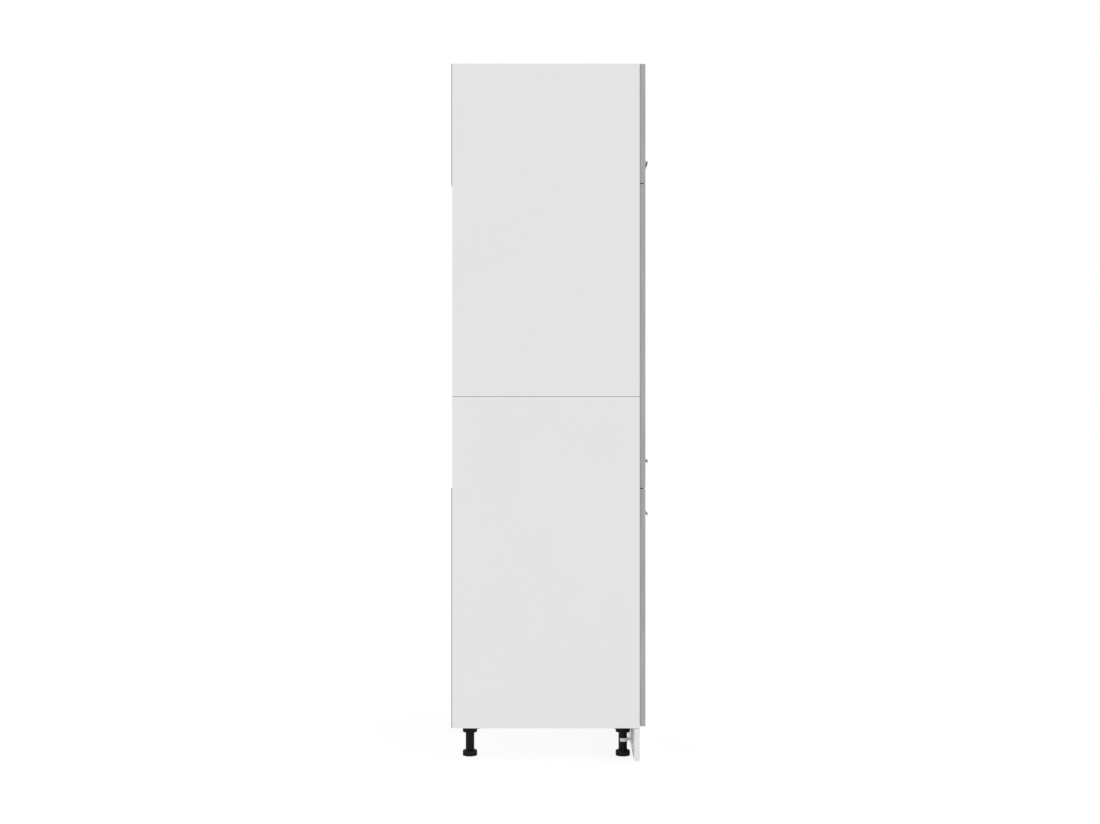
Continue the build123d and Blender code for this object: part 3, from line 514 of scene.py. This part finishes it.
# Fronts.
# 16 mm board pressed in one piece with its grey decor, edges rounded and banded in the same decor.
# The print is a faint upright grain, soft streaks 60 to 180 mm long and a few wide, dull to the eye.
def decor_board(door):
    """One front's decor: two stretched noises for soft and broad streaks, and a third for its pores."""
    material, surface, place = new_material("grey_decor_board_" + door)
    decor_skin = 0.0009
    bare = bare_chip(material, place, door + "_panel", (), decor_skin)
    chip, chip_height = chip_colour(material, place)
    long = add_node(material, "Mapping", {}, {"Vector": place, "Scale": (190.0, 190.0, 8.0)}).outputs[0]
    streaks = add_node(
        material, "TexNoise", {}, {"Vector": long, "Scale": 1.0, "Detail": 3.0, "Roughness": 0.6}
    ).outputs[0]
    broad = add_node(material, "Mapping", {}, {"Vector": place, "Scale": (28.0, 28.0, 2.2)}).outputs[0]
    bands = add_node(
        material, "TexNoise", {}, {"Vector": broad, "Scale": 1.0, "Detail": 2.0, "Distortion": 0.6}
    ).outputs[0]
    # Pores are printed about 0.4 mm wide and 12 mm long
    thin = add_node(material, "Mapping", {}, {"Vector": place, "Scale": (2400.0, 2400.0, 80.0)}).outputs[0]
    pores = add_node(material, "TexNoise", {}, {"Vector": thin, "Scale": 1.0, "Detail": 1.0}).outputs[0]
    pore_mask = add_node(
        material, "MapRange", {}, {"Value": pores, "From Min": 0.6, "From Max": 0.72}
    ).outputs[0]
    tone = add_node(
        material,
        "MapRange",
        {},
        {"Value": streaks, "From Min": 0.3, "From Max": 0.7},
    ).outputs[0]
    colour = add_node(
        material, "Mix", {"data_type": "RGBA"}, {0: tone, 6: linear("#999999"), 7: linear("#ABABAB")}
    ).outputs[2]
    band_tone = add_node(
        material,
        "MapRange",
        {},
        {"Value": bands, "From Min": 0.25, "From Max": 0.75, "To Min": 0.94, "To Max": 1.06},
    ).outputs[0]
    colour = add_node(
        material,
        "VectorMath",
        {"operation": "SCALE"},
        {0: colour, "Scale": band_tone},
    ).outputs[0]
    colour = add_node(
        material, "Mix", {"data_type": "RGBA"}, {0: pore_mask, 6: colour, 7: linear("#8C8C8C")}
    ).outputs[2]
    colour = add_node(material, "Mix", {"data_type": "RGBA"}, {0: bare, 6: colour, 7: chip}).outputs[2]
    rough = add_node(material, "Mix", {}, {0: bare, 2: 0.5, 3: 0.9}).outputs[0]
    height = add_node(material, "Mix", {}, {0: bare, 2: pore_mask, 3: chip_height}).outputs[0]
    lift = add_node(material, "Mix", {}, {0: bare, 2: -0.00004, 3: 0.0003}).outputs[0]
    relief = add_node(material, "Bump", {}, {"Strength": 0.5, "Distance": lift, "Height": height})
    board = add_node(
        material,
        "BsdfPrincipled",
        {},
        {"Base Color": colour, "Roughness": rough, "Normal": relief.outputs[0], "IOR": 1.49},
    )
    material.node_tree.links.new(board.outputs[0], surface)
    return material


for door in hinge_rows:
    dress(door + "_panel", decor_board(door))


# Handles.
# An aluminium lip, extruded, brushed along its length and clear anodised, screwed on from inside.
# The brushing draws highlights out into long soft lines.
def brushed_aluminium():
    """Extruded aluminium, brushed lengthwise and clear anodised."""
    material, surface, place = new_material("brushed_anodised_aluminium")
    # Brush lines are about 0.3 mm apart and run the whole length
    lines = add_node(material, "Mapping", {}, {"Vector": place, "Scale": (12.0, 3000.0, 3000.0)}).outputs[0]
    brush = add_node(material, "TexNoise", {}, {"Vector": lines, "Scale": 1.0, "Detail": 2.0}).outputs[0]
    colour = add_node(
        material, "Mix", {"data_type": "RGBA"}, {0: brush, 6: linear("#AEAEAE"), 7: linear("#C0C0BF")}
    ).outputs[2]
    rough = add_node(material, "MapRange", {}, {"Value": brush, "To Min": 0.3, "To Max": 0.42}).outputs[0]
    relief = add_node(material, "Bump", {}, {"Strength": 0.2, "Distance": 0.00004, "Height": brush})
    metal = add_node(
        material,
        "BsdfPrincipled",
        {},
        {"Base Color": colour, "Metallic": 1.0, "Roughness": rough, "Normal": relief.outputs[0]},
    )
    material.node_tree.links.new(metal.outputs[0], surface)
    return material


anodised = brushed_aluminium()
for door in hinge_rows:
    dress(door + "_handle", anodised)


# Bumpers.
# Soft clear domes stuck inside each door's free edge, which quiet its closing.
# Cast polyurethane: milky, faintly see-through, with a smooth shine.
def soft_polyurethane():
    """Cast polyurethane with a faint milky haze, in patches of about 2.5 mm."""
    material, surface, place = new_material("clear_polyurethane")
    haze = add_node(material, "TexNoise", {}, {"Vector": place, "Scale": 400.0, "Detail": 1.0}).outputs[0]
    colour = add_node(
        material, "Mix", {"data_type": "RGBA"}, {0: haze, 6: linear("#DCDCD8"), 7: linear("#EAEAE6")}
    ).outputs[2]
    gum = add_node(
        material,
        "BsdfPrincipled",
        {},
        {"Base Color": colour, "Roughness": 0.25, "IOR": 1.5, "Transmission Weight": 0.35},
    )
    material.node_tree.links.new(gum.outputs[0], surface)
    return material


polyurethane = soft_polyurethane()
for door in hinge_rows:
    dress(door + "_bumpers", polyurethane)


# Legs.
# Injection-moulded black plastic: sockets screwed under the carcass and tubes pushed up into them.
# The mould's fine spark texture kills the shine, so they read as a plain deep black.
def moulded_plastic(name, dark, light, roughness, gloss):
    """Moulded plastic with a fine spark-eroded texture of grains about 0.3 mm wide, drawn at 0.5 mm."""
    material, surface, place = new_material(name)
    grain = add_node(material, "TexNoise", {}, {"Vector": place, "Scale": 2000.0, "Detail": 1.0}).outputs[0]
    colour = add_node(
        material, "Mix", {"data_type": "RGBA"}, {0: grain, 6: linear(dark), 7: linear(light)}
    ).outputs[2]
    relief = add_node(material, "Bump", {}, {"Strength": 0.3, "Distance": 0.00004, "Height": grain})
    plastic = add_node(
        material,
        "BsdfPrincipled",
        {},
        {
            "Base Color": colour,
            "Roughness": roughness,
            "Specular IOR Level": gloss,
            "Normal": relief.outputs[0],
        },
    )
    material.node_tree.links.new(plastic.outputs[0], surface)
    return material


black_polypropylene = moulded_plastic("black_polypropylene", "#0C0C0C", "#131313", 0.55, 0.15)
dress("leg_sockets", black_polypropylene)
dress("leg_tubes", black_polypropylene)


# Feet.
# Each is one moulding: a round foot with eight finger grips in its rim, and a hollow threaded stem
# that screws up into the leg's tube, by which the unit is levelled.
def foot_rings(x, y):
    """Radius and height along an outline turned round the foot's axis. In the rim the radius is drawn in
    by eight round grips: at an angle a from a grip's middle, the ring lies on the grip's circle where that is
    nearer. On the stem the radius follows a helix: a triangle wave of height / pitch minus angle / turn."""
    around, grips = 128, 8
    rim, stem, wall, grip = 21.8, 9.65, 3.0, 1.4
    foot_top, rounding, pitch, thread_depth = 16.0, 3.0, 2.5, 0.75
    stem_top, hollow = 64.0, stem - wall
    rounded = np.linspace(0, np.pi / 2, 7)[1:]
    rim_top = foot_top - rounding
    outline = [(0.5, 0.0), (stem, 0.0), (rim - 0.5, 0.0), (rim, 0.5), (rim, 6.0), (rim, rim_top)]
    outline += [(rim - rounding + rounding * np.cos(a), rim_top + rounding * np.sin(a)) for a in rounded]
    outline += [(stem + 1.0, foot_top), (stem - thread_depth, foot_top)]
    outline += [(stem, z) for z in np.arange(foot_top + 0.6, stem_top - 1.5, 0.42)]
    outline += [(stem - 1.0, stem_top), (hollow + 0.3, stem_top), (hollow, stem_top - 1.0)]
    outline += [(hollow, 40.0), (hollow, foot_top + 0.2), (0.5, foot_top)]
    radius, height = np.array(outline).T[:, :, None]
    angle = np.linspace(0, 2 * np.pi, around, endpoint=False)[None, :]
    from_grip = (angle + np.pi / grips) % (2 * np.pi / grips) - np.pi / grips
    half_chord = np.clip(grip ** 2 - (rim * np.sin(from_grip)) ** 2, 0, None) ** 0.5
    grip_face = rim * np.cos(from_grip) - half_chord
    radius = np.where((half_chord > 0) & (radius > grip_face - 0.01), grip_face, radius + 0 * angle)
    threaded = (height > foot_top + 0.3) & (height < stem_top - 1.4) & (radius > stem - 0.1)
    wave = np.abs(((height / pitch - angle / (2 * np.pi)) % 1) * 2 - 1)
    radius = radius - threaded * thread_depth * np.clip(1.4 * wave - 0.2, 0, 1)
    height = height + 0 * angle
    points = np.stack([x * 1000 + radius * np.cos(angle), y * 1000 + radius * np.sin(angle), height], -1)
    return points[None] * 0.001


leg_places = {
    "front_left": (-0.205, -0.2185),
    "front_right": (0.205, -0.2185),
    "rear_left": (-0.205, 0.2435),
    "rear_right": (0.205, 0.2435),
}
for leg, (x, y) in leg_places.items():
    foot = rings_mesh("levelling_foot_" + leg, foot_rings(x, y))
    foot.data.materials.append(black_polypropylene)
    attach(foot, "foot_" + leg)
    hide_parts("foot_" + leg)


# Plinth fittings.
# Grey brackets screwed behind the plinth, and paler sprung clips that snap round the legs.
# Both are injection moulded; the clips' acetal is smoother and a little waxy.
dress("plinth_brackets", moulded_plastic("grey_polypropylene", "#C8C8CA", "#D2D2D4", 0.5, 0.4))
dress("plinth_clips", moulded_plastic("natural_acetal", "#DEDEDC", "#E8E8E6", 0.38, 0.5))


# Camera, light and floor.
# The camera stands level, 4.6 m from the left side and square to it. Soft even light comes from the
# white surroundings and two wide lamps, at a level at which a colour renders about as written.
lens = bpy.data.cameras.new("camera")
lens.lens, lens.sensor_width = 50.8, 36.0
camera = bpy.data.objects.new("camera", lens)
camera.location = (-4.9, 0.0016, 1.0374)
camera.rotation_euler = (np.pi / 2, 0, -np.pi / 2)
bpy.context.scene.collection.objects.link(camera)
bpy.context.scene.camera = camera

for name, strength, spread, turn in (
    ("key_light", 0.68, 60, (np.radians(52), 0, np.radians(-50))),
    ("fill_light", 0.29, 80, (np.radians(60), 0, np.radians(150))),
):
    sun = bpy.data.lights.new(name, "SUN")
    sun.energy, sun.angle = strength, np.radians(spread)
    lamp = bpy.data.objects.new(name, sun)
    lamp.rotation_euler = turn
    bpy.context.scene.collection.objects.link(lamp)

world = bpy.data.worlds.new("white_studio")
bpy.context.scene.world = world
world.use_nodes = True
world.node_tree.nodes.clear()
sky_output = add_node(world, "OutputWorld")
ray = add_node(world, "LightPath").outputs
seen = add_node(world, "Math", {"operation": "MAXIMUM"}, {0: ray["Is Camera Ray"], 1: ray["Is Glossy Ray"]})
seen = add_node(
    world, "Math", {"operation": "MAXIMUM"}, {0: seen.outputs[0], 1: ray["Is Transmission Ray"]}
).outputs[0]
sky_strength = add_node(world, "MapRange", {}, {"Value": seen, "To Min": 0.79, "To Max": 1.0}).outputs[0]
sky = add_node(world, "Background", {}, {"Color": (1, 1, 1, 1), "Strength": sky_strength})
world.node_tree.links.new(sky.outputs[0], sky_output.inputs["Surface"])

floor_mesh = bpy.data.meshes.new("floor")
reach = 40
corners = [(-reach, -reach, 0), (reach, -reach, 0), (reach, reach, 0), (-reach, reach, 0)]
floor_mesh.from_pydata(corners, [], [(0, 1, 2, 3)])
floor = bpy.data.objects.new("floor", floor_mesh)
bpy.context.scene.collection.objects.link(floor)
paper, paper_surface, _ = new_material("white_paper")
white = add_node(paper, "BsdfDiffuse", {}, {"Color": linear("#BCBCBC")})
under_light = add_node(paper, "Emission", {}, {"Color": (1, 1, 1, 1), "Strength": 0.45})
lit = add_node(paper, "AddShader", {}, {0: white.outputs[0], 1: under_light.outputs[0]})
faint = add_node(paper, "BsdfDiffuse", {}, {"Color": linear("#6E6E6E")})
glow = add_node(paper, "Emission", {}, {"Color": (1, 1, 1, 1), "Strength": 0.87})
shown = add_node(paper, "AddShader", {}, {0: faint.outputs[0], 1: glow.outputs[0]})
ray = add_node(paper, "LightPath").outputs
seen = add_node(paper, "Math", {"operation": "MAXIMUM"}, {0: ray["Is Camera Ray"], 1: ray["Is Glossy Ray"]})
both = add_node(paper, "MixShader", {}, {0: seen.outputs[0], 1: lit.outputs[0], 2: shown.outputs[0]})
paper.node_tree.links.new(both.outputs[0], paper_surface)
floor_mesh.materials.append(paper)

bpy.context.scene.view_settings.view_transform = "Standard"
